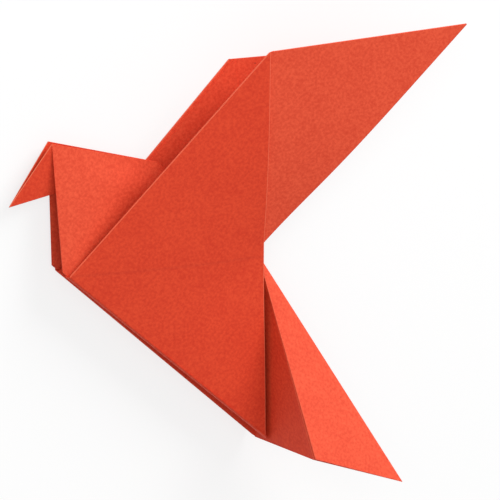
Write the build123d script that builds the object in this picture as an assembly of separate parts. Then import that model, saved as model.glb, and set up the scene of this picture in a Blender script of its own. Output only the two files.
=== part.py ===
from build123d import *
from dataclasses import dataclass
from math import cos, radians, sin, sqrt, tan
import os

# Origami dove, folded from one square of paper and lying on its far wing.
# It is folded upright: X along the spine towards the tail, Y up the wings, Z to the near side.

# Sheet
SHEET_SIDE = 150.0
PAPER = 0.16

# Folds, measured on the flat sheet
PLEAT_WIDTH = 26.5
WING_FOLD_DEPTH = 25.8
HEAD_CREASE_RUN = 28.7
HEAD_CREASE_ANGLE = 25.5
TAIL_CREASE_EDGE = 20.0

# How far the folds stand open, in degrees
TENT_ANGLE = 5.0
NEAR_FLARE = 8.5
FAR_FLARE = -3.5
TAIL_VALLEY_TURN = 88.0
TAIL_MOUNTAIN_TURN = 101.0
TAIL_OPENING = 2.0

# How far the front pleat runs askew on the far half, in degrees
FAR_PLEAT_SKEW = 2.3

# Layers of a wing tip, and of the pleats pressed on the tail's layer in the body
TIP_LAYERS = 2
PLEAT_LAYERS = TIP_LAYERS + 2
# A rounded crease is a little slimmer than the paper that it joins
CREASE_SHARE = 0.48
# The raw edges lie half a square corner from the diagonal that becomes the spine
RAW_EDGE_ANGLE = 45.0

# Sizes that follow from the ones above
HALF_DIAGONAL = SHEET_SIDE / sqrt(2)
SPINE_LENGTH = HALF_DIAGONAL - 2 * PLEAT_WIDTH
STACK = PLEAT_LAYERS * PAPER
FOLD_WIDTH = 2 * STACK + PAPER
WING_FOOT = WING_FOLD_DEPTH + FOLD_WIDTH
CREASE_RADIUS = CREASE_SHARE * PAPER
TENT = radians(TENT_ANGLE)
HEAD_TURN = radians(HEAD_CREASE_ANGLE)

# Corners on the spine: the root of the tail, the front of the pleats, and the crown of the head
ROOT = Vector(0, 0, 0)
FRONT = Vector(-PLEAT_WIDTH, 0, 0)
CROWN = Vector(HEAD_CREASE_RUN - SPINE_LENGTH, 0, 0)


@dataclass(frozen=True)
class Side:
    """One side of the dove: which way it faces, and how its pleats and its wing are folded."""

    sign: int
    skew: float
    flare: float


NEAR = Side(1, 0.0, radians(NEAR_FLARE))
FAR = Side(-1, radians(FAR_PLEAT_SKEW), radians(FAR_FLARE))


def outward(side):
    """The direction out of one half of the body."""
    return Vector(0, sin(TENT), side.sign * cos(TENT))


def body_point(x, depth, side):
    """A point on one half of the body, at a depth below the spine."""
    return Vector(x, -depth * cos(TENT), side.sign * depth * sin(TENT))


def rise(side):
    """The direction up the wing."""
    return Vector(0, cos(side.flare), side.sign * sin(side.flare))


def wing_point(x, run, side):
    """A point on one wing, at a run from the spine measured along the paper."""
    foot = body_point(x, WING_FOLD_DEPTH, side) + outward(side) * FOLD_WIDTH
    return foot + rise(side) * (run - WING_FOOT)


def front_x(run, side):
    """Where the front pleat is, at a run from the spine."""
    return run * tan(side.skew) - PLEAT_WIDTH


def back_x(run, side):
    """Where the back pleat is, once the front pleat has turned it over."""
    start = PLEAT_WIDTH * sin(2 * side.skew)
    return (run + start) * tan(2 * side.skew) - start * tan(side.skew)


def tip_point(side):
    """The tip of the wing, the sheet's corner turned over the front pleat."""
    run = HALF_DIAGONAL * cos(2 * side.skew) - PLEAT_WIDTH * sin(2 * side.skew)
    return wing_point(back_x(run, side), run, side)


def layer(points, low, high, facing):
    """A flat layer of paper between two heights over the plane of its points."""
    face = Face(Wire.make_polygon(points, close=True))
    normal = face.normal_at()
    if normal.dot(facing) < 0:
        normal = normal * -1
    lifted = face.moved(Location(normal * low))
    return extrude(lifted, amount=high - low, dir=normal)


def panel(points):
    """One layer of paper, centred on the plane of its points."""
    return layer(points, -PAPER / 2, PAPER / 2, Vector(0, 0, 1))


def crease(start, end, radius=CREASE_RADIUS):
    """The rounded outside of a fold."""
    run = end - start
    return Solid.make_cylinder(radius, run.length, Plane(origin=start, z_dir=run))


def joined(pieces):
    """Some pieces of paper as one."""
    return pieces[0].fuse(*pieces[1:])


def body_half(side):
    """One half of the body: the tail's layer, the neck's layer and the pleats pressed on them."""
    foot = body_point(back_x(WING_FOLD_DEPTH, side), WING_FOLD_DEPTH, side)
    front_foot = body_point(front_x(WING_FOLD_DEPTH, side), WING_FOLD_DEPTH, side)
    chin = body_point(WING_FOLD_DEPTH - SPINE_LENGTH, WING_FOLD_DEPTH, side)
    tail_layer = panel([FRONT, ROOT, tail_corner(side), front_foot])
    neck_layer = panel([CROWN, ROOT, foot, chin, brow(side)])
    pleats = layer([FRONT, ROOT, foot, front_foot], PAPER / 2, PAPER / 2 + STACK, outward(side))
    return [tail_layer, neck_layer, pleats]


def wing_fold(side):
    """The bottom of one side, where all the layers turn up into the wing round each other."""
    front = body_point(front_x(WING_FOLD_DEPTH, side), WING_FOLD_DEPTH, side)
    back = tail_corner(side)
    wing_front = wing_point(front_x(WING_FOOT, side), WING_FOOT, side)
    wing_back = wing_point(SPINE_LENGTH - WING_FOOT, WING_FOOT, side)
    strip = panel([front, back, wing_back, wing_front])
    outside = front + outward(side) * FOLD_WIDTH
    inside = body_point(front.X, WING_FOLD_DEPTH - FOLD_WIDTH, side)
    corners = [front, outside, outside + rise(side) * FOLD_WIDTH, inside]
    core = extrude(Face(Wire.make_polygon(corners, close=True)), amount=PLEAT_WIDTH, dir=(1, 0, 0))
    return [strip, core, crease(front, back), crease(wing_front, wing_back)]


def wing(side):
    """One wing: the outer triangle, the two layers of the tip, and two shorter pleats inside."""
    front = wing_point(front_x(WING_FOOT, side), WING_FOOT, side)
    foot = wing_point(back_x(WING_FOOT, side), WING_FOOT, side)
    back = wing_point(SPINE_LENGTH - WING_FOOT, WING_FOOT, side)
    shoulder_run = (SPINE_LENGTH + PLEAT_WIDTH) / (1 + tan(side.skew))
    shoulder = wing_point(front_x(shoulder_run, side), shoulder_run, side)
    notch = wing_point(back_x(SPINE_LENGTH, side), SPINE_LENGTH, side)
    chin = wing_point(WING_FOOT - SPINE_LENGTH, WING_FOOT, side)
    facing = Vector(0, 0, side.sign)
    under_outer = -PAPER / 2
    under_tip = under_outer - TIP_LAYERS * PAPER
    under_strip = under_tip - PAPER
    outer = panel([front, back, shoulder])
    tip_layers = layer([front, foot, tip_point(side), shoulder], under_tip, under_outer, facing)
    strip = layer([front, foot, notch, shoulder], under_strip, under_tip, facing)
    neck_end = layer([chin, foot, notch], under_strip - PAPER, under_strip, facing)
    return [outer, tip_layers, strip, neck_end]


def brow(side):
    """Where the head crease meets the raw edge of the neck."""
    run = HEAD_CREASE_RUN / (cos(HEAD_TURN) + sin(HEAD_TURN))
    return body_point(CROWN.X - run * cos(HEAD_TURN), run * sin(HEAD_TURN), side)


def beak_point():
    """The sheet's point, between the two halves, as far from each brow as on the flat sheet."""
    edge = HEAD_CREASE_RUN * sin(HEAD_TURN) / sin(HEAD_TURN + radians(RAW_EDGE_ANGLE))
    reach = brow(NEAR) - CROWN
    flat = Vector(reach.X, reach.Y, 0)
    along = (HEAD_CREASE_RUN ** 2 + reach.length ** 2 - edge ** 2) / 2 / flat.length
    down = sqrt(HEAD_CREASE_RUN ** 2 - along ** 2)
    return CROWN + flat.normalized() * along + Vector(-flat.Y, flat.X, 0).normalized() * down


def head():
    """The turned-down head: two halves that meet in a fold under the beak and stay open on top."""
    beak = beak_point()
    halves = [panel([CROWN, brow(side), beak]) for side in (NEAR, FAR)]
    return halves + [crease(CROWN, brow(side)) for side in (NEAR, FAR)] + [crease(CROWN, beak)]


def tail_corner(side):
    """Where the raw edge of the tail's layer reaches the wing fold."""
    return body_point(SPINE_LENGTH - WING_FOLD_DEPTH, WING_FOLD_DEPTH, side)


def turned(point, axis_end, angle):
    """A point turned about the line from the root of the tail to another point."""
    return point.rotate(Axis((0, 0, 0), axis_end), angle)


def tail():
    """The tail, pleated towards the near side, with a gusset on each half behind the wing."""
    drop = TAIL_CREASE_EDGE / sqrt(2)
    corner = tail_corner(NEAR)
    pleat = turned(body_point(SPINE_LENGTH - drop, drop, NEAR), corner, TAIL_VALLEY_TURN)
    point = turned(Vector(SPINE_LENGTH, 0, 0), corner, TAIL_VALLEY_TURN)
    point = turned(point, pleat, -TAIL_MOUNTAIN_TURN)
    far_pleat = turned(pleat, point, TAIL_OPENING)
    pieces = [crease(ROOT, point)]
    for foot, ridge in ((corner, pleat), (tail_corner(FAR), far_pleat)):
        pieces += [panel([ROOT, foot, ridge]), panel([ROOT, ridge, point])]
        pieces += [crease(ROOT, foot), crease(ROOT, ridge)]
    return pieces


def folded_sheet():
    """The whole folded sheet as one solid."""
    dove = joined([crease(FRONT, ROOT, STACK), crease(CROWN, ROOT)])
    for side in (NEAR, FAR):
        for pieces in (body_half(side), wing_fold(side), wing(side)):
            dove = dove.fuse(joined(pieces))
    return dove.fuse(joined(head()), joined(tail())).clean()


def laid_down(shape):
    """Laid on the far wing, with the origin under the middle of its box."""
    lying = shape.rotate(Axis.X, FAR_FLARE)
    box = lying.bounding_box()
    return lying.moved(Location((-box.center().X, -box.center().Y, -box.min.Z)))


os.makedirs("parts", exist_ok=True)
export_step(laid_down(folded_sheet()), "parts/folded_sheet.step")
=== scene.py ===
import logging
from dataclasses import dataclass, field
from enum import Enum
from math import cos, pi, radians, sin, sqrt, tan
from typing import Any, Callable, Optional, Sequence, Union

import bpy
import numpy as np
from mathutils import Matrix


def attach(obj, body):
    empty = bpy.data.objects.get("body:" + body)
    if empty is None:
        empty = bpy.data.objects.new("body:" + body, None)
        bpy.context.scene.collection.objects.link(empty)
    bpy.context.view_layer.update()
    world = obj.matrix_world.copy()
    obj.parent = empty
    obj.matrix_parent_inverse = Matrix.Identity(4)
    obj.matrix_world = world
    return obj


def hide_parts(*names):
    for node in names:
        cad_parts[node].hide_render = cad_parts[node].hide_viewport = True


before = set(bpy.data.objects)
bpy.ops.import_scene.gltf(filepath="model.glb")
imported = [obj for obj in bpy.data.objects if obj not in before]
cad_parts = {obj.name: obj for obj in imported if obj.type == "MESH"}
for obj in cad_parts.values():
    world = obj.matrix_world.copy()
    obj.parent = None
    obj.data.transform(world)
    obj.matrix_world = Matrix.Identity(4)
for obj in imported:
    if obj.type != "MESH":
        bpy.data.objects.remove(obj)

# An origami dove, folded from one square of orange-red paper and lying on its far wing.
# The folds are worked out in millimetres in the folding frame: X along the spine towards the
# tail, Y up the wings, Z to the near side. The finished meshes are in metres in the row frame.

LOG = logging.getLogger("dove")
MILLIMETRE = 0.001
NODE = "folded_sheet"
BODY = "root"

# The picture's side in pixels, and the camera's sensor in millimetres
PICTURE = 500.0
SENSOR = 36.0
# A distance in millimetres from which no line is seen
FAR_AWAY = 60.0
WELD_DECIMALS = 7
SHARP_ANGLE = radians(32.0)
# Cells of a panel, and points round and along the turns and the beads
PANEL_CELLS = 40
BROAD_CELLS = 70
TURN_ROUND, TURN_ALONG = 17, 25
BEAD_ROUND, BEAD_ALONG = 17, 41
# The places of a colour Mix node's two inputs and of its result
MIX_FIRST, MIX_SECOND, MIX_RESULT = 6, 7, 2
NOISE_ROUGHNESS = 0.6
# The share of a panel's width in which it climbs on the layers under it
SWELL_SHARE = 0.25
# Shares of the paper's thickness: the round of an open crease, the round of a pressed fold, and
# how far the flat of a layer ends before the outside of its fold
CREASE_SHARE = 0.5
ROUND_SHARE = 0.98
SET_BACK = 0.9

Vec = np.ndarray
Shape = Callable[[Vec], Vec]
Shade = tuple[int, int, int]
Direction = tuple[float, float, float]
Value = Union["Socket", float]

ALONG = np.array([1.0, 0.0, 0.0])
UP = np.array([0.0, 0.0, 1.0])
# A direction that no fold runs in
ASIDE = np.array([0.31, 0.17, 0.93])


class EdgeHighlight(Enum):
    """How strong a fold's painted highlight is, as the distance in millimetres to the pale line
    that it shows.
    """

    PLAIN = FAR_AWAY
    FAINT = 0.07


def unit(vector: Vec) -> Vec:
    """A vector divided by its length."""
    return vector / np.linalg.norm(vector)


def smooth(share: Vec) -> Vec:
    """The smooth step 3 s squared minus 2 s cubed, held at 0 and 1 outside."""
    held = np.clip(share, 0.0, 1.0)
    return held * held * (3 - 2 * held)


def turned(point: Vec, axis: Vec, angle: float) -> Vec:
    """A point turned about a line through the origin, by the axis-and-angle formula.

    Args:
        point: The point to turn.
        axis: The direction of the line.
        angle: The turn in radians.

    Returns:
        The turned point.
    """
    k = unit(axis)
    across = np.cross(k, point) * sin(angle)
    return point * cos(angle) + across + k * (k @ point) * (1 - cos(angle))


def put(made: bpy.types.Object, axes: Vec, place: Vec) -> None:
    """Links a camera or a lamp to the scene and puts it in its place.

    Args:
        made: The camera or the lamp.
        axes: Its right, up and back directions as columns.
        place: Its place in metres.
    """
    matrix = np.eye(4)
    matrix[:3, :3] = axes
    matrix[:3, 3] = place
    bpy.context.scene.collection.objects.link(made)
    made.matrix_world = Matrix(matrix.tolist())


@dataclass(frozen=True)
class Side:
    """One side of the dove: which way it faces, and how its pleats and its wing are folded."""

    sign: int
    skew: float
    flare: float


@dataclass(frozen=True)
class FoldPlan:
    """The creases of the sheet in millimetres and degrees, and the corners that they make."""

    sheet_side: float = 150.0
    paper: float = 0.16
    pleat_width: float = 26.5
    wing_fold_depth: float = 25.8
    head_crease_run: float = 28.7
    head_crease_angle: float = 25.5
    tail_crease_edge: float = 20.0
    tent_angle: float = 5.0
    near_flare: float = 8.5
    far_flare: float = -3.5
    tail_valley_turn: float = 88.0
    tail_mountain_turn: float = 101.0
    tail_opening: float = 2.0
    far_pleat_skew: float = 2.3
    pleat_layers: int = 4
    turn_flatness: float = 0.35
    near_heel: Direction = (0.7, -0.4, 0.4)
    far_heel: Direction = (1.8, -1.1, 0.0)

    @property
    def half_diagonal(self) -> float:
        """Half of the sheet's diagonal."""
        return self.sheet_side / sqrt(2)

    @property
    def spine(self) -> float:
        """The spine's length from the root of the tail to either end of the sheet."""
        return self.half_diagonal - 2 * self.pleat_width

    @property
    def stack(self) -> float:
        """The thickness of the pleats pressed on one half of the body."""
        return self.pleat_layers * self.paper

    @property
    def fold_width(self) -> float:
        """How far the wing's outer layer stands off the body at the wing fold."""
        return 2 * self.stack + self.paper

    @property
    def turn_rise(self) -> float:
        """How far the pressed turn at the bottom of a wing fold rises to the wing's foot."""
        return self.fold_width / 2 * self.turn_flatness

    @property
    def wing_foot(self) -> float:
        """The run from the spine to the foot of the wing, along the paper."""
        return self.wing_fold_depth + self.fold_width

    @property
    def near(self) -> Side:
        """The side that is uppermost as the dove lies."""
        return Side(1, 0.0, radians(self.near_flare))

    @property
    def far(self) -> Side:
        """The side that the dove lies on."""
        return Side(-1, radians(self.far_pleat_skew), radians(self.far_flare))

    @property
    def root(self) -> Vec:
        """The root of the tail, the origin of the folding frame."""
        return np.zeros(3)

    @property
    def front(self) -> Vec:
        """The front of the pleats, on the spine."""
        return ALONG * -self.pleat_width

    @property
    def crown(self) -> Vec:
        """Where the head crease starts on the spine."""
        return ALONG * (self.head_crease_run - self.spine)

    def under(self, number: int) -> float:
        """The height of a layer's underside, counted down from the layer whose middle is at 0."""
        return -(number + 0.5) * self.paper

    def ply(self, number: int) -> tuple[float, float]:
        """The heights of a layer's underside and upper side, counted down in the same way."""
        return self.under(number), self.under(number - 1)

    def outward(self, side: Side) -> Vec:
        """The direction out of one half of the body."""
        tent = radians(self.tent_angle)
        return np.array([0.0, sin(tent), side.sign * cos(tent)])

    def body_point(self, x: float, depth: float, side: Side) -> Vec:
        """A point on one half of the body, at a depth below the spine."""
        tent = radians(self.tent_angle)
        return np.array([x, -depth * cos(tent), side.sign * depth * sin(tent)])

    def fold_point(self, x: float, side: Side) -> Vec:
        """A point on the wing fold, on the body's side."""
        return self.body_point(x, self.wing_fold_depth, side)

    def inward(self, side: Side) -> Vec:
        """The direction in the body from the wing fold towards the spine."""
        return self.body_point(0.0, -1.0, side)

    def rise(self, side: Side) -> Vec:
        """The direction up the wing."""
        return np.array([0.0, cos(side.flare), side.sign * sin(side.flare)])

    def wing_point(self, x: float, run: float, side: Side) -> Vec:
        """A point on one wing, at a run from the spine along the paper, down the body and up."""
        foot = self.fold_point(x, side) + self.outward(side) * self.fold_width
        return foot + self.rise(side) * (run - self.wing_foot)

    def front_x(self, run: float, side: Side) -> float:
        """Where the front pleat is, at a run from the spine."""
        return run * tan(side.skew) - self.pleat_width

    def back_x(self, run: float, side: Side) -> float:
        """Where the back pleat is, once the front pleat has turned it over."""
        start = self.pleat_width * sin(2 * side.skew)
        return (run + start) * tan(2 * side.skew) - start * tan(side.skew)

    def shoulder(self, side: Side) -> Vec:
        """Where the front pleat meets the raw edge of the wing's outer layer."""
        run = (self.spine + self.pleat_width) / (1 + tan(side.skew))
        return self.wing_point(self.front_x(run, side), run, side)

    def tip(self, side: Side) -> Vec:
        """The tip of the wing, the sheet's corner turned over the front pleat."""
        run = self.half_diagonal * cos(2 * side.skew) - self.pleat_width * sin(2 * side.skew)
        return self.wing_point(self.back_x(run, side), run, side)

    def heel(self, side: Side) -> Vec:
        """How far the back end of a wing fold lies from its place on an exact fold."""
        return np.array(self.near_heel if side.sign > 0 else self.far_heel)

    def tail_corner(self, side: Side) -> Vec:
        """Where the raw edge of the tail's layer reaches the wing fold."""
        return self.fold_point(self.spine - self.wing_fold_depth, side) + self.heel(side)

    def brow(self, side: Side) -> Vec:
        """Where the head crease meets the raw edge of the neck.

        The raw edge is at half a right angle to the spine, so the crease is as long as its run
        on the spine divided by the sum of the cosine and the sine of its angle.

        Args:
            side: The side of the dove.

        Returns:
            The point in the folding frame.
        """
        turn = radians(self.head_crease_angle)
        run = self.head_crease_run / (cos(turn) + sin(turn))
        return self.body_point(self.crown[0] - run * cos(turn), run * sin(turn), side)

    def beak(self) -> Vec:
        """The sheet's point, as far from each brow and from the crown as on the flat sheet.

        It lies in the middle plane, where two circles meet: along the crease by the cosine rule,
        and down by the rule of Pythagoras.

        Returns:
            The point in the folding frame.
        """
        turn = radians(self.head_crease_angle)
        run = self.head_crease_run
        edge = run * sin(turn) / sin(turn + pi / 4)
        reach = self.brow(self.near) - self.crown
        flat = unit(reach * np.array([1.0, 1.0, 0.0]))
        along = (run**2 + reach @ reach - edge**2) / 2 / (flat @ reach)
        down = np.array([-flat[1], flat[0], 0.0])
        return self.crown + flat * along + down * sqrt(run**2 - along**2)

    def tail_points(self) -> tuple[Vec, Vec, Vec]:
        """The corners of the tail after its two turns.

        The valley turn is about the line to the tail's corner, the mountain turn about the near
        pleat, and the far pleat is the near one turned about the line to the point.

        Returns:
            The tail's near pleat, its point and its far pleat.
        """
        drop = self.tail_crease_edge / sqrt(2)
        corner = self.tail_corner(self.near) - self.heel(self.near)
        valley = radians(self.tail_valley_turn)
        pleat = turned(self.body_point(self.spine - drop, drop, self.near), corner, valley)
        point = turned(ALONG * self.spine, corner, valley)
        point = turned(point, pleat, -radians(self.tail_mountain_turn))
        return pleat, point, turned(pleat, point, radians(self.tail_opening))

    def lying_axes(self) -> Vec:
        """The row frame's three axes as rows: Z is square to the far wing, X along the spine."""
        wing = self.rise(self.far)
        return np.array([ALONG, wing, np.cross(ALONG, wing)])

    def lying_shift(self) -> Vec:
        """The move that puts the middle of the lying sheet's box over the origin.

        Returns:
            The move in millimetres along the row frame's axes.
        """
        corners = [
            self.brow(self.near),
            self.brow(self.far),
            self.tail_points()[1],
            self.tip(self.near),
            self.tip(self.far),
            self.wing_point(0.0, self.wing_foot, self.far),
        ]
        lying = np.array(corners) @ self.lying_axes().T
        middle = (lying.min(axis=0) + lying.max(axis=0)) / 2
        return np.array([-middle[0], -middle[1], -lying[:, 2].min() + self.paper / 2])

    def lay_down(self, points: Vec) -> Vec:
        """Points of the folding frame in the row frame, in metres."""
        return (points @ self.lying_axes().T + self.lying_shift()) * MILLIMETRE


PLAN = FoldPlan()


class Socket:
    """A shader value that adds Math nodes when it is used in an expression."""

    def __init__(self, tree: "ShaderTree", output: bpy.types.NodeSocket) -> None:
        """Keeps the tree and the output socket."""
        self.tree = tree
        self.output = output

    def math(self, operation: str, *values: Value) -> "Socket":
        """One Math node, with its operation and its inputs in order."""
        inputs = dict(enumerate(values))
        return self.tree.node("ShaderNodeMath", {"operation": operation}, inputs, "Value")

    def __add__(self, other: Value) -> "Socket":
        """Sum."""
        return self.math("ADD", self, other)

    def __radd__(self, other: Value) -> "Socket":
        """Sum with the number first."""
        return self.math("ADD", other, self)

    def __sub__(self, other: Value) -> "Socket":
        """Difference."""
        return self.math("SUBTRACT", self, other)

    def __rsub__(self, other: Value) -> "Socket":
        """Difference with the number first."""
        return self.math("SUBTRACT", other, self)

    def __mul__(self, other: Value) -> "Socket":
        """Product."""
        return self.math("MULTIPLY", self, other)

    def __rmul__(self, other: Value) -> "Socket":
        """Product with the number first."""
        return self.math("MULTIPLY", other, self)

    def smaller(self, other: Value) -> "Socket":
        """The smaller of two values."""
        return self.math("MINIMUM", self, other)

    def larger(self, other: Value) -> "Socket":
        """The larger of two values."""
        return self.math("MAXIMUM", self, other)

    def size(self) -> "Socket":
        """The value without its sign."""
        return self.math("ABSOLUTE", self)

    def sibling(self, name: str) -> "Socket":
        """Another output of the same node."""
        return Socket(self.tree, self.output.node.outputs[name])

    def fade(self, start: float, end: float) -> "Socket":
        """A smooth step over the value.

        Args:
            start: Where the step is 0.
            end: Where the step is 1, which may be less than the start.

        Returns:
            The step, held at 0 and 1 outside.
        """
        rising = start < end
        inputs = {
            "Value": self,
            "From Min": min(start, end),
            "From Max": max(start, end),
            "To Min": 0.0 if rising else 1.0,
            "To Max": 1.0 if rising else 0.0,
        }
        settings = {"interpolation_type": "SMOOTHSTEP"}
        return self.tree.node("ShaderNodeMapRange", settings, inputs, "Result")


class ShaderTree:
    """The node tree of one material or world."""

    def __init__(self, tree: bpy.types.NodeTree) -> None:
        """Empties the tree."""
        self.tree = tree
        tree.nodes.clear()

    def node(
        self,
        kind: str,
        settings: dict[str, Any],
        inputs: dict[Union[str, int], Any],
        output: Union[str, int],
    ) -> Socket:
        """Adds any node.

        Args:
            kind: The node's type.
            settings: Its settings, which are set first.
            inputs: Values or links of its sockets, by name or place.
            output: The output that is wanted.

        Returns:
            That output.
        """
        made = self.tree.nodes.new(kind)
        for name, value in settings.items():
            setattr(made, name, value)
        for key, value in inputs.items():
            if isinstance(value, Socket):
                self.tree.links.new(value.output, made.inputs[key])
            else:
                made.inputs[key].default_value = value
        return Socket(self, made.outputs[output])

    def attribute(self, name: str, output: str = "Fac") -> Socket:
        """One of the mesh's own attributes."""
        return self.node("ShaderNodeAttribute", {"attribute_name": name}, {}, output)

    def mix(self, factor: Value, first: Any, second: Any) -> Socket:
        """A blend of two colours."""
        inputs = {"Factor": factor, MIX_FIRST: first, MIX_SECOND: second}
        return self.node("ShaderNodeMix", {"data_type": "RGBA"}, inputs, MIX_RESULT)

    def noise(self, place: Socket, scale: float, detail: float) -> Socket:
        """Cloudy noise over a place, in features per metre."""
        grain = {"Scale": scale, "Detail": detail, "Roughness": NOISE_ROUGHNESS}
        return self.node("ShaderNodeTexNoise", {}, {"Vector": place, **grain}, "Fac")

    def end(self, kind: str, shader: Socket) -> None:
        """Joins a shader to the output node of the given type."""
        made = self.tree.nodes.new(kind)
        self.tree.links.new(shader.output, made.inputs["Surface"])


def linear(red: int, green: int, blue: int) -> tuple[float, float, float, float]:
    """A display colour as linear light, by the sRGB curve.

    Args:
        red: Red from 0 to 255.
        green: Green from 0 to 255.
        blue: Blue from 0 to 255.

    Returns:
        The colour for a shader socket.
    """
    shown = np.array([red, green, blue]) / 255.0
    light = np.where(shown <= 0.04045, shown / 12.92, ((shown + 0.055) / 1.055) ** 2.4)
    return (float(light[0]), float(light[1]), float(light[2]), 1.0)


@dataclass(frozen=True)
class PaperFinish:
    """Dyed craft paper: mottled by its fibres, with painted highlights as pale lines where folded
    or cut.

    The back of the sheet is a little paler than its face. Scales are in features per metre, the
    widths of lines in millimetres, and shares and strengths are parts of 1.
    """

    face_shade: Shade = (205, 51, 23)
    face_light: Shade = (223, 70, 36)
    back_shade: Shade = (211, 64, 36)
    back_light: Shade = (230, 85, 53)
    # Painted highlight: the colour of the pale lines on fold ridges and cut edges
    line: Shade = (246, 132, 98)
    # Colour of the dark flecks, and of the painted shade along pressed lines
    fleck_and_press_shade: Shade = (130, 30, 26)
    cloud_scale: float = 160.0
    cloud_detail: float = 3.0
    cloud_share: float = 0.2
    fibre_scale: float = 1900.0
    fibre_detail: float = 4.0
    tone_range: tuple[float, float] = (0.3, 0.7)
    fleck_scale: float = 900.0
    fleck_detail: float = 1.0
    fleck_range: tuple[float, float] = (0.815, 0.85)
    fleck_strength: float = 0.7
    # Width and strength of the painted highlight lines
    highlight_width: float = 0.15
    highlight_strength: float = 0.6
    # Width of the pressed line, and the strength of its painted shade
    press_width: float = 0.5
    press_shade_strength: float = 0.1
    roughness: float = 0.72
    specular: float = 0.32
    relief_fibre: float = 0.7
    relief_cloud: float = 0.3
    relief_press: float = 0.5
    bump: float = 0.22
    bump_depth: float = 0.00006

    def material(self) -> bpy.types.Material:
        """The paper's material.

        Returns:
            A material that reads Object coordinates and the sheet's own attributes.
        """
        made = bpy.data.materials.new("dyed paper")
        made.use_nodes = True
        tree = ShaderTree(made.node_tree)
        place = tree.node("ShaderNodeTexCoord", {}, {}, "Object")
        cloud = tree.noise(place, self.cloud_scale, self.cloud_detail)
        fibre = tree.noise(place, self.fibre_scale, self.fibre_detail)
        press = self.press_line(tree)
        colour = self.dye(tree, place, cloud * self.cloud_share + fibre * (1 - self.cloud_share))
        # Painted highlight: pale lines mixed in along fold ridges and cut edges
        colour = tree.mix(self.edge_highlight(tree) * self.highlight_strength, colour, linear(*self.line))
        # Painted shade: the pressed line darkened towards the fleck colour
        colour = tree.mix(press * self.press_shade_strength, colour, linear(*self.fleck_and_press_shade))
        relief = fibre * self.relief_fibre + cloud * self.relief_cloud - press * self.relief_press
        bump = {"Strength": self.bump, "Distance": self.bump_depth, "Height": relief}
        inputs = {
            "Base Color": colour,
            "Roughness": self.roughness,
            "Specular IOR Level": self.specular,
            "Normal": tree.node("ShaderNodeBump", {}, bump, "Normal"),
        }
        shader = tree.node("ShaderNodeBsdfPrincipled", {}, inputs, "BSDF")
        tree.end("ShaderNodeOutputMaterial", shader)
        return made

    def dye(self, tree: ShaderTree, place: Socket, mottle: Socket) -> Socket:
        """The colour of the flat paper: a blend of two tones by the mottle, and dark flecks.

        Args:
            tree: The material's tree.
            place: The place on the dove.
            mottle: Noise of the clouds and the fibres.

        Returns:
            The colour.
        """
        tone = mottle.fade(*self.tone_range)
        face = tree.mix(tone, linear(*self.face_shade), linear(*self.face_light))
        back = tree.mix(tone, linear(*self.back_shade), linear(*self.back_light))
        sheet = tree.mix(tree.attribute("paper_back"), face, back)
        speck = tree.noise(place, self.fleck_scale, self.fleck_detail).fade(*self.fleck_range)
        return tree.mix(speck * self.fleck_strength, sheet, linear(*self.fleck_and_press_shade))

    def edge_highlight(self, tree: ShaderTree) -> Socket:
        """The painted highlight: a pale line along fold ridges and cut edges.

        Args:
            tree: The material's tree.

        Returns:
            One at the nearest of three highlighted edges, fading out over the line's width.
        """
        reach = tree.attribute("highlight_reach", "Vector")
        first = tree.node("ShaderNodeSeparateXYZ", {}, {"Vector": reach}, "X")
        nearest = first.smaller(first.sibling("Y")).smaller(first.sibling("Z"))
        return nearest.fade(self.highlight_width, 0.0)

    def press_line(self, tree: ShaderTree) -> Socket:
        """One on the line that a hidden edge has pressed into the layer over it, for its relief
        and its painted shade.
        """
        return tree.attribute("press_reach").size().fade(self.press_width, 0.0)


@dataclass(frozen=True)
class StudioFinish:
    """The pale floor and the white surroundings."""

    floor_colour: float = 0.96
    ambient: float = 0.46
    whiteness: float = 0.75

    def floor(self) -> bpy.types.Material:
        """A plain matt white, whitened where it is looked at so that only a soft shadow stays.

        Returns:
            The floor's material.
        """
        made = bpy.data.materials.new("pale floor")
        made.use_nodes = True
        tree = ShaderTree(made.node_tree)
        grey = (self.floor_colour, self.floor_colour, self.floor_colour, 1.0)
        matt = tree.node("ShaderNodeBsdfDiffuse", {}, {"Color": grey}, "BSDF")
        white = tree.node("ShaderNodeEmission", {}, {"Strength": 1.0}, "Emission")
        inputs = {0: self.looked_at(tree) * self.whiteness, 1: matt, 2: white}
        tree.end("ShaderNodeOutputMaterial", tree.node("ShaderNodeMixShader", {}, inputs, 0))
        return made

    def looked_at(self, tree: ShaderTree) -> Socket:
        """Tells what the camera sees, straight, in a gloss or through glass, from other light.

        Args:
            tree: The tree of the material or the world.

        Returns:
            One for what is seen, else zero.
        """
        seen = tree.node("ShaderNodeLightPath", {}, {}, "Is Camera Ray")
        glossy, through = seen.sibling("Is Glossy Ray"), seen.sibling("Is Transmission Ray")
        return seen.larger(glossy).larger(through)

    def world(self) -> bpy.types.World:
        """White where it is looked at, and a softer light on the object.

        Returns:
            The world.
        """
        made = bpy.data.worlds.new("white studio")
        made.use_nodes = True
        tree = ShaderTree(made.node_tree)
        strength = self.looked_at(tree) * (1.0 - self.ambient) + self.ambient
        inputs = {"Color": (1.0, 1.0, 1.0, 1.0), "Strength": strength}
        shader = tree.node("ShaderNodeBackground", {}, inputs, "Background")
        tree.end("ShaderNodeOutputWorld", shader)
        return made


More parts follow.
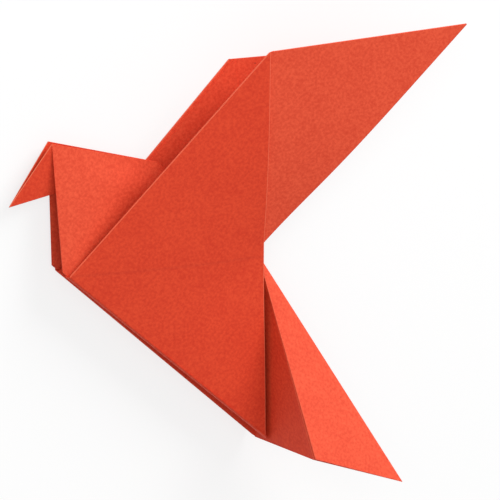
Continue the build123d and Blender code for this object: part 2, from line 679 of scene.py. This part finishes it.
@dataclass
class PaperMesh:
    """Closed shells of paper, gathered into one mesh.

    The shells added while `back` is set show the paler back of the sheet.
    """

    points: list[Vec] = field(default_factory=list)
    faces: list[Vec] = field(default_factory=list)
    reaches: list[Vec] = field(default_factory=list)
    presses: list[Vec] = field(default_factory=list)
    backs: list[Vec] = field(default_factory=list)
    back: bool = False
    count: int = 0

    def add_shell(
        self,
        grid: Vec,
        normals: Vec,
        low: float,
        high: float,
        reach: Optional[Vec] = None,
        press: Optional[Vec] = None,
    ) -> None:
        """Adds a closed shell round a grid of points.

        The upper and lower skins are the grid moved along its normals, the rim joins their
        borders, equal points are welded, and the shell is turned so that its volume is positive.

        Args:
            grid: Points in rows and columns.
            normals: A normal for each point.
            low: Height of the lower skin over the grid.
            high: Height of the upper skin over the grid.
            reach: For each point its distances to three edges with painted highlight, or none for
                far away.
            press: For each point its distance across a pressed line, or none for far away.
        """
        rows, columns = grid.shape[:2]
        size = rows * columns
        skins = np.concatenate([(grid + normals * level).reshape(-1, 3) for level in (high, low)])
        index = np.arange(size).reshape(rows, columns)
        cells = [index[:-1, :-1], index[1:, :-1], index[1:, 1:], index[:-1, 1:]]
        upper = np.stack(cells, axis=-1).reshape(-1, 4)
        lower = upper[:, ::-1] + size
        loop = np.concatenate([index[0, :], index[1:, -1], index[-1, -2::-1], index[-2:0:-1, 0]])
        following = np.roll(loop, -1)
        rim = np.stack([loop, following, following + size, loop + size], axis=-1)
        quads = np.concatenate([upper, lower, rim])
        _, first, place = np.unique(
            np.round(skins, WELD_DECIMALS), axis=0, return_index=True, return_inverse=True
        )
        triangles = np.concatenate([quads[:, [0, 1, 2]], quads[:, [0, 2, 3]]])
        triangles = place.reshape(-1)[triangles]
        a, b, c = triangles.T
        triangles = triangles[(a != b) & (b != c) & (c != a)]
        kept = skins[first]
        corners = kept[triangles]
        volume = np.einsum("ij,ij->", corners[:, 0], np.cross(corners[:, 1], corners[:, 2]))
        if volume < 0:
            triangles = triangles[:, ::-1]
        reach = np.full(grid.shape, FAR_AWAY) if reach is None else reach
        press = np.full(grid.shape[:2], FAR_AWAY) if press is None else press
        self.points.append(kept)
        self.faces.append(triangles + self.count)
        self.reaches.append(np.concatenate([reach.reshape(-1, 3)] * 2)[first])
        self.presses.append(np.concatenate([press.reshape(-1)] * 2)[first])
        self.backs.append(np.full(len(kept), float(self.back)))
        self.count += len(kept)

    def add_panel(
        self,
        corners: Sequence[Vec],
        heights: tuple[float, float],
        facing: Vec,
        highlit_edges: Sequence[tuple[int, int]] = (),
        bow: float = 0.0,
        shape: Optional[Shape] = None,
        swell: tuple[float, float] = (0.0, 0.0),
        pressed: Optional[tuple[Vec, Vec]] = None,
        cells: int = PANEL_CELLS,
    ) -> None:
        """Adds a flat panel of paper that bows a little.

        The panel is the bilinear blend of its corners, where a triangle repeats its first corner.
        It bows by the product 16 u (1-u) v (1-v), and by the height that a shape gives at each
        of its points. Where it lies over other layers it swells by a smooth blend of two heights
        over u, which it climbs within the first part of v.

        Args:
            corners: Three or four corners in order.
            heights: Heights of the lower and the upper skin.
            facing: A direction on the upper side.
            highlit_edges: Pairs of corners whose edge shows a pale line of painted highlight.
            bow: Height of the bow.
            shape: A function from points to heights, shared by layers that bend together.
            swell: Height of the layers under it, at its first edge and at its outer edge.
            pressed: Two points of a line that shows through from below, in relief and with
                painted shade.
            cells: Cells along each side of the grid.
        """
        a, b, c = corners[:3]
        d = corners[3] if len(corners) == 4 else a
        steps = np.linspace(0, 1, cells + 1)
        u, v = steps[:, None, None], steps[None, :, None]
        flat = (1 - u) * ((1 - v) * a + v * d) + u * ((1 - v) * b + v * c)
        normal = unit(np.cross(b - a, c - a))
        normal = normal * np.sign(normal @ facing)
        lift = bow * 16 * u * (1 - u) * v * (1 - v)
        if shape is not None:
            lift = lift + shape(flat)[..., None]
        layers = swell[0] + (swell[1] - swell[0]) * smooth(u)
        lift = lift + layers * smooth(v / SWELL_SHARE)
        reach = np.full(flat.shape, FAR_AWAY)
        for channel, (start, end) in enumerate(highlit_edges):
            run = unit(corners[end] - corners[start])
            reach[..., channel] = np.linalg.norm(np.cross(flat - corners[start], run), axis=-1)
        press = None
        if pressed is not None:
            press = (flat - pressed[0]) @ np.cross(normal, unit(pressed[1] - pressed[0]))
        normals = np.broadcast_to(normal, flat.shape)
        self.add_shell(flat + normal * lift, normals, *heights, reach, press)

    def add_turn(self, starts: Vec, ends: Vec, out: Vec, up: Vec, radius: float) -> None:
        """Adds a layer that turns half round, such as the bottom of a wing fold.

        The profile is half of a pressed circle, an ellipse, from -out through -up to +out,
        carried from one end of the fold to the other.

        Args:
            starts: Centre of the turn at the front, for its first and its last edge.
            ends: Centre of the turn at the back, for its first and its last edge.
            out: Direction across the fold.
            up: Direction from the turn to the open side.
            radius: Radius of the layer's middle.
        """
        angle = np.linspace(0, pi, TURN_ROUND)[None, :, None]
        share = np.linspace(0, 1, TURN_ALONG)[:, None, None]
        flatness = PLAN.turn_flatness
        spoke = -out * np.cos(angle) - up * np.sin(angle) * flatness
        across = angle / pi
        start = starts[0] * (1 - across) + starts[1] * across
        end = ends[0] * (1 - across) + ends[1] * across
        grid = start * (1 - share) + end * share + spoke * radius
        ray = -out * np.cos(angle) * flatness - up * np.sin(angle)
        ray = ray / np.linalg.norm(ray, axis=-1, keepdims=True)
        self.add_shell(grid, np.broadcast_to(ray, grid.shape), *PLAN.ply(0))

    def add_bead(
        self,
        start: Vec,
        end: Vec,
        radius: float,
        highlight: EdgeHighlight = EdgeHighlight.PLAIN,
        shape: Optional[Shape] = None,
        facing: Optional[Vec] = None,
    ) -> None:
        """Adds the rounded edge of a fold: a circle carried along a line, closed at both ends.

        Args:
            start: One end of the fold.
            end: The other end.
            radius: Radius of the round.
            highlight: How strong the fold's painted highlight is.
            shape: A function from points to heights, where the fold bends with its layers.
            facing: The direction of those heights.
        """
        run = unit(end - start)
        side = unit(np.cross(run, ASIDE))
        angle = np.linspace(0, 2 * pi, BEAD_ROUND)[None, :, None]
        rays = side * np.cos(angle) + np.cross(run, side) * np.sin(angle)
        share = np.linspace(0, 1, BEAD_ALONG)[:, None, None]
        grid = start * (1 - share) + end * share + 0 * rays
        if shape is not None and facing is not None:
            grid = grid + facing * shape(grid)[..., None]
        reach = np.full(grid.shape, highlight.value)
        self.add_shell(grid, np.broadcast_to(rays, grid.shape), 0.0, radius, reach)

    def to_mesh(self, name: str) -> bpy.types.Mesh:
        """Makes the Blender mesh, in the row frame.

        Args:
            name: The mesh's name.

        Returns:
            The mesh with its attributes.
        """
        mesh = bpy.data.meshes.new(name)
        points = PLAN.lay_down(np.concatenate(self.points))
        mesh.from_pydata(points.tolist(), [], np.concatenate(self.faces).tolist())
        mesh.polygons.foreach_set("use_smooth", np.ones(len(mesh.polygons), dtype=bool))
        mesh.set_sharp_from_angle(angle=SHARP_ANGLE)
        reach = mesh.attributes.new("highlight_reach", "FLOAT_VECTOR", "POINT")
        reach.data.foreach_set("vector", np.concatenate(self.reaches).astype(np.float32).ravel())
        for key, values in (("press_reach", self.presses), ("paper_back", self.backs)):
            layer = mesh.attributes.new(key, "FLOAT", "POINT")
            layer.data.foreach_set("value", np.concatenate(values).astype(np.float32))
        return mesh


@dataclass
class PaperPart:
    """A part of the dove. Each kind of part folds its own layers, and all are dressed alike."""

    name: str

    def fold(self) -> PaperMesh:
        """The part's layers of paper."""
        raise NotImplementedError

    def build(self, finish: bpy.types.Material) -> bpy.types.Object:
        """Folds the part's layers, makes their object and dresses it.

        Args:
            finish: The paper's material.

        Returns:
            The part's object.
        """
        made = bpy.data.objects.new(self.name, self.fold().to_mesh(self.name))
        bpy.context.scene.collection.objects.link(made)
        self.dress(made, finish)
        return made

    def dress(self, made: bpy.types.Object, finish: bpy.types.Material) -> None:
        """Gives the part its finish, and lets it ride on the one body.

        Args:
            made: The part's object.
            finish: The paper's material.
        """
        made.data.materials.append(finish)
        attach(made, BODY)
        LOG.info("%s: %d triangles", self.name, len(made.data.polygons))


@dataclass
class Wing(PaperPart):
    """One wing: the outer triangle, the two layers of the tip, and two shorter pleats inside."""

    side: Side
    dip: float = 0.0
    dip_run: float = 17.0
    front_reach: float = 0.0
    press_drop: float = 3.0
    ply_step: float = 0.25

    def fold(self) -> PaperMesh:
        """Folds the wing's layers, counted from the outer one, and the rounds of its folds.

        Returns:
            The wing's layers.
        """
        plan, side, t = PLAN, self.side, PLAN.paper
        foot_run = plan.wing_foot + plan.turn_rise
        front = plan.wing_point(plan.front_x(foot_run, side), foot_run, side)
        foot = plan.wing_point(plan.back_x(foot_run, side), foot_run, side)
        back = plan.wing_point(plan.spine - foot_run, foot_run, side) + plan.heel(side)
        chin = plan.wing_point(foot_run - plan.spine, foot_run, side)
        tip = plan.tip(side)
        edge = ALONG + plan.rise(side)
        shoulder = plan.shoulder(side) - edge * self.front_reach
        notch = plan.wing_point(plan.back_x(plan.spine, side), plan.spine, side)
        crease_end = plan.wing_point(0.0, plan.spine - self.press_drop, side)
        out = unit(np.cross(back - front, shoulder - front))
        out = out * np.sign(out[2]) * side.sign
        set_back, inner_step = t * SET_BACK, t + 2 * self.ply_step
        paper = PaperMesh()
        paper.add_panel(
            [front + ALONG * set_back, back, shoulder + edge * set_back],
            plan.ply(0),
            out,
            # The raw edge from the back to the shoulder gets a painted highlight
            highlit_edges=[(1, 2)],
            shape=self.bend,
            # A pressed line in relief and with painted shade
            pressed=(front, crease_end),
            cells=BROAD_CELLS,
        )
        paper.back = True
        layers = ((set_back, tip), (set_back + self.ply_step, tip), (inner_step, notch))
        for number, (step, end) in enumerate(layers, start=1):
            corners = [front + ALONG * step, foot, end, shoulder + edge * step]
            paper.add_panel(corners, plan.ply(number), out, shape=self.bend)
        neck_end = [chin, foot, notch]
        paper.add_panel(neck_end, plan.ply(len(layers) + 1), out, shape=self.bend)
        paper.back = False
        # A fold joins a layer to the next one, so its round is at the underside of the first
        # The outer front fold gets a faint painted highlight, the inner fold none
        for number, step, highlight in ((0, set_back, EdgeHighlight.FAINT), (2, inner_step, EdgeHighlight.PLAIN)):
            move = out * plan.under(number) + ALONG * step
            paper.add_bead(front + move, shoulder + move, t * ROUND_SHARE, highlight)
        for number, end in ((1, tip), (3, notch)):
            ends = [point + out * plan.under(number) for point in (foot, end)]
            paper.add_bead(*ends, t * ROUND_SHARE, shape=self.bend, facing=out)
        return paper

    def bend(self, points: Vec) -> Vec:
        """How far the wing's layers dip where they cross the root of the tail.

        The dip grows with the square of the way back from the front pleat, is full at the back
        pleat, and falls off along the wing as a bell curve about the notch.

        Args:
            points: Points on the wing.

        Returns:
            A height for each point.
        """
        back = np.clip(points[..., 0] / PLAN.pleat_width + 1.0, 0.0, 1.0)
        notch = PLAN.wing_point(0.0, PLAN.spine, self.side)
        run = (points - notch) @ PLAN.rise(self.side)
        return -self.dip * back**2 * np.exp(-((run / self.dip_run) ** 2))


@dataclass
class Body(PaperPart):
    """The body: two halves of pressed pleats with the neck, and the turns at the wing folds."""

    name: str = "body_and_neck"
    neck_bow: float = 0.25
    ply_step: float = 0.14
    tuck: float = 5.5

    @property
    def tucked(self) -> Vec:
        """The front of the pleats on the spine, tucked back where the neck covers it."""
        return PLAN.front + ALONG * self.tuck

    def fold(self) -> PaperMesh:
        """Folds both halves of the body and the ridge of the spine.

        Returns:
            The body's layers.
        """
        paper = PaperMesh()
        for side in (PLAN.near, PLAN.far):
            self.add_half(paper, side)
            self.add_turns(paper, side)
        paper.add_bead(self.tucked, PLAN.root, PLAN.stack)
        paper.add_bead(PLAN.crown, PLAN.root, PLAN.paper * CREASE_SHARE)
        return paper

    def add_half(self, paper: PaperMesh, side: Side) -> None:
        """The layers of one half: the tail's layer, the pleats, and the neck's layer over them.

        Args:
            paper: The mesh to add to.
            side: The side of the dove.
        """
        plan = PLAN
        out = plan.outward(side)
        lift = plan.inward(side) * plan.turn_rise
        depth, middle = plan.wing_fold_depth, plan.ply(0)
        front_foot = plan.fold_point(plan.front_x(depth, side), side) + lift
        foot = plan.fold_point(plan.back_x(depth, side), side) + lift
        tail_layer = [self.tucked, plan.root, plan.tail_corner(side), front_foot]
        paper.add_panel(tail_layer, middle, out)
        for number in range(1, plan.pleat_layers):
            step = ALONG * self.ply_step * number
            pleat = [self.tucked + step, plan.root, foot, front_foot + step]
            paper.add_panel(pleat, plan.ply(-number), out)
        paper.back = True
        chin = plan.fold_point(depth - plan.spine, side) + lift
        inner = plan.fold_point(plan.crown[0], side) + lift
        neck = [plan.crown, plan.brow(side), chin, inner]
        paper.add_panel(neck, middle, out, bow=self.neck_bow, swell=(plan.stack, 0.0))
        covered = [plan.crown, plan.root, foot, inner]
        paper.add_panel(covered, middle, out, swell=(plan.stack, plan.stack))
        paper.back = False

    def add_turns(self, paper: PaperMesh, side: Side) -> None:
        """The nested half turns of all the layers at one wing fold.

        Args:
            paper: The mesh to add to.
            side: The side of the dove.
        """
        plan = PLAN
        out, up = plan.outward(side), plan.inward(side)
        centre = out * plan.fold_width / 2 + up * plan.turn_rise
        depth, radius = plan.wing_fold_depth, plan.fold_width / 2
        front = plan.fold_point(plan.front_x(depth, side), side) + centre
        middle = plan.fold_point(plan.back_x(depth, side), side) + centre
        back = plan.tail_corner(side) + centre
        along = unit(back - front)
        outer_ends = np.array([back, back - along * plan.fold_width])
        paper.add_turn(np.array([front, front]), outer_ends, out, up, radius)
        for number in range(1, plan.pleat_layers + 1):
            start = front + along * self.ply_step * number
            starts, ends = np.array([start, start]), np.array([middle, middle])
            paper.add_turn(starts, ends, out, up, radius - plan.paper * number)


@dataclass
class Head(PaperPart):
    """The head: two halves that meet in a fold under the beak and stay open on top."""

    name: str = "head"
    bow: float = 0.2

    def fold(self) -> PaperMesh:
        """Folds the two halves of the head.

        Returns:
            The head's layers.
        """
        plan, crease = PLAN, PLAN.paper * CREASE_SHARE
        beak = plan.beak()
        paper = PaperMesh()
        for side in (plan.near, plan.far):
            half = [plan.crown, plan.brow(side), beak]
            # Each half's raw edge from the brow to the beak gets a painted highlight
            paper.add_panel(half, plan.ply(0), UP * side.sign, highlit_edges=[(1, 2)], bow=self.bow)
            paper.add_bead(plan.crown, plan.brow(side), crease)
        paper.add_bead(plan.crown, beak, crease)
        return paper


@dataclass
class Tail(PaperPart):
    """The tail, pleated to the near side, with a gusset on each half behind the wing."""

    name: str = "tail"
    bow: float = 0.35
    gusset_bow: float = 0.175
    ridge_start: float = 4.0

    def fold(self) -> PaperMesh:
        """Folds the gussets, the two halves of the point and the creases between them.

        Returns:
            The tail's layers.
        """
        plan, crease = PLAN, PLAN.paper * CREASE_SHARE
        pleat, point, far_pleat = plan.tail_points()
        facing = np.array([0.0, 1.0, 1.0])
        start = unit(point) * self.ridge_start
        paper = PaperMesh()
        for side, ridge in ((plan.near, pleat), (plan.far, far_pleat)):
            corner = plan.tail_corner(side)
            gusset = [plan.root, corner, ridge, start]
            # Painted shade: the gusset shows the back of the sheet but keeps the darker face tone
            paper.add_panel(gusset, plan.ply(0), facing, bow=self.gusset_bow)
            paper.back = True
            paper.add_panel([start, ridge, point], plan.ply(0), facing, bow=self.bow)
            paper.back = False
            paper.add_bead(plan.root, corner, crease)
            # The ridge crease gets a faint painted highlight
            paper.add_bead(start, ridge, crease, EdgeHighlight.FAINT)
        paper.add_bead(plan.root, point, crease)
        return paper


@dataclass(frozen=True)
class PhotoView:
    """The photograph's camera: turns in degrees, and places in the picture in pixels.

    Its distance from the root of the tail is in millimetres, and its clipping in metres.
    """

    yaw: float = 32.82
    pitch: float = -4.68
    roll: float = -39.66
    root_u: float = 246.57
    root_v: float = 236.76
    pixels_per_millimetre: float = 5.623
    distance: float = 769.6
    clip_near: float = 0.01
    clip_far: float = 20.0

    def axes(self) -> Vec:
        """The camera's directions, by turns about X, Y and then Z.

        Returns:
            Its right, up and back directions in the row frame, as rows.
        """
        a, b, c = radians(self.pitch), radians(self.yaw), radians(self.roll)
        about_x = np.array([[1, 0, 0], [0, cos(a), -sin(a)], [0, sin(a), cos(a)]])
        about_y = np.array([[cos(b), 0, sin(b)], [0, 1, 0], [-sin(b), 0, cos(b)]])
        about_z = np.array([[cos(c), -sin(c), 0], [sin(c), cos(c), 0], [0, 0, 1]])
        return (about_z @ about_y @ about_x) @ PLAN.lying_axes().T

    def place(self) -> Vec:
        """The camera's place in the row frame, in metres."""
        return PLAN.lay_down(PLAN.root) + self.axes()[2] * self.distance * MILLIMETRE

    def build(self) -> bpy.types.Object:
        """Makes the scene's camera.

        The lens shows the given pixels per millimetre at the given distance, and the shift puts
        the root of the tail at its place in the picture.

        Returns:
            The camera.
        """
        data = bpy.data.cameras.new("photo camera")
        data.sensor_width = SENSOR
        data.lens = self.pixels_per_millimetre * self.distance * SENSOR / PICTURE
        data.shift_x = (PICTURE / 2 - self.root_u) / PICTURE
        data.shift_y = (self.root_v - PICTURE / 2) / PICTURE
        data.clip_start, data.clip_end = self.clip_near, self.clip_far
        made = bpy.data.objects.new("photo camera", data)
        put(made, self.axes().T, self.place())
        bpy.context.scene.camera = made
        LOG.info("camera at %s", np.round(self.place(), 4).tolist())
        return made


@dataclass(frozen=True)
class Studio:
    """A pale floor, soft white surroundings and two large soft lamps.

    The key lamp is over the wing tips and the fill lamp is by the camera. Lengths are in metres.
    """

    finish: StudioFinish = StudioFinish()
    floor_size: float = 3.0
    floor_drop: float = 0.0001
    lamp_distance: float = 0.9
    lamp_size: float = 0.5
    key_watts: float = 7.0
    key_towards: Direction = (-0.18, 0.85, 0.5)
    fill_watts: float = 2.0
    fill_towards: Direction = (-0.54, 0.05, 0.84)

    def build(self) -> None:
        """Makes the floor, the world and the two lamps."""
        half = self.floor_size / 2
        corners = [(-half, -half), (half, -half), (half, half), (-half, half)]
        mesh = bpy.data.meshes.new("floor")
        mesh.from_pydata([(x, y, -self.floor_drop) for x, y in corners], [], [(0, 1, 2, 3)])
        mesh.materials.append(self.finish.floor())
        floor = bpy.data.objects.new("floor", mesh)
        bpy.context.scene.collection.objects.link(floor)
        bpy.context.scene.world = self.finish.world()
        self.add_lamp("key lamp", self.key_watts, unit(np.array(self.key_towards)))
        self.add_lamp("fill lamp", self.fill_watts, unit(np.array(self.fill_towards)))

    def add_lamp(self, name: str, watts: float, towards: Vec) -> None:
        """A square soft lamp that looks at the origin.

        Args:
            name: The lamp's name.
            watts: Its power.
            towards: The direction from the dove to the lamp.
        """
        data = bpy.data.lights.new(name, "AREA")
        data.shape = "SQUARE"
        data.size = self.lamp_size
        data.energy = watts
        right = unit(np.cross(UP, towards))
        axes = np.stack([right, np.cross(towards, right), towards], axis=1)
        put(bpy.data.objects.new(name, data), axes, towards * self.lamp_distance)


def main() -> None:
    """Builds the dove, the camera and the studio."""
    logging.basicConfig(level=logging.INFO, format="%(name)s %(message)s")
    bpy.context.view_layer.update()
    paper = PaperFinish().material()
    parts = [
        Wing("near_wing", PLAN.near, dip=2.0),
        Wing("far_wing", PLAN.far, front_reach=1.5),
        Body(),
        Head(),
        Tail(),
    ]
    for part in parts:
        piece = part.build(paper)
        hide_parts(NODE)
    PhotoView().build()
    Studio().build()
    bpy.context.scene.view_settings.view_transform = "Standard"
    bpy.context.view_layer.update()


if __name__ == "__main__":
    main()
